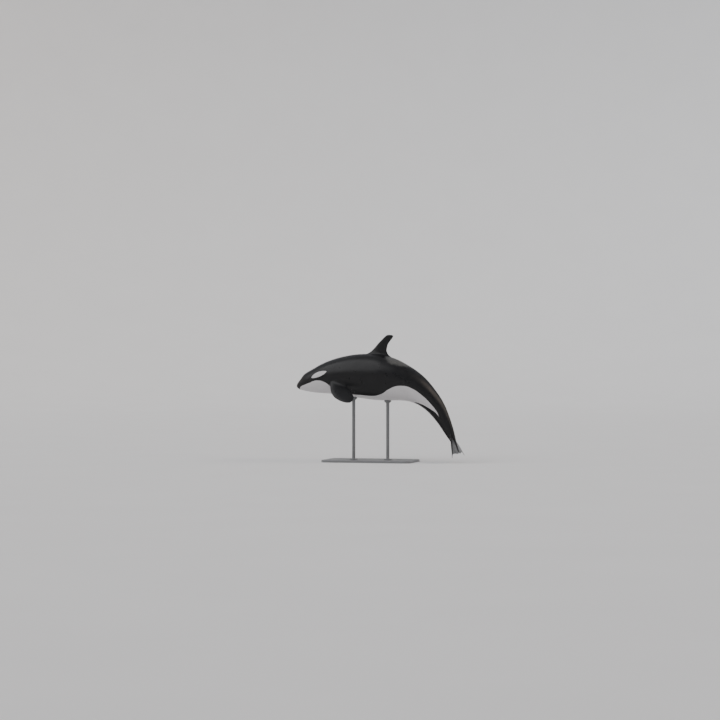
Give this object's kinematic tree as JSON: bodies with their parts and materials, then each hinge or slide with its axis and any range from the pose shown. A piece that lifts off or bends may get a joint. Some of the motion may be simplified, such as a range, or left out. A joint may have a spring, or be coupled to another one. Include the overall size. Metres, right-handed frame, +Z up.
{
  "type": "orca",
  "caption": "Life-size still model of an orca arched in mid leap, black above and white below, held up on a plain display stand.",
  "frame": {"origin": "on the floor, in the middle of the underside of the stand's base", "axes": "+Z up; -X is where the snout points, +X is towards the tail; -Y is the animal's left side"},
  "size_m": [4.5901, 2.0109, 3.481],
  "materials": {
    "skin_dark": "wet black skin, smooth and glossy",
    "skin_white": "wet white skin, smooth and glossy",
    "skin_saddle": "wet grey skin, smooth and glossy",
    "eye": "dark brown, wet and very glossy",
    "stand_board": "satin grey paint",
    "stand_metal": "satin grey powder coat"
  },
  "bodies": {
    "root": {"head": "skin_dark", "lower_jaw": "skin_white", "throat": "skin_white", "eye_left": "eye", "eye_right": "eye", "eye_patch_left": "skin_white", "eye_patch_right": "skin_white", "chest": "skin_dark", "abdomen": "skin_dark", "belly": "skin_white", "tail_stock": "skin_dark", "saddle_patch": "skin_saddle", "dorsal_fin": "skin_dark", "flipper_left": "skin_dark", "flipper_right": "skin_dark", "flukes": "skin_dark", "stand_base": "stand_board", "stand_rod_front": "stand_metal", "stand_rod_rear": "stand_metal"}
  },
  "joints": []
}
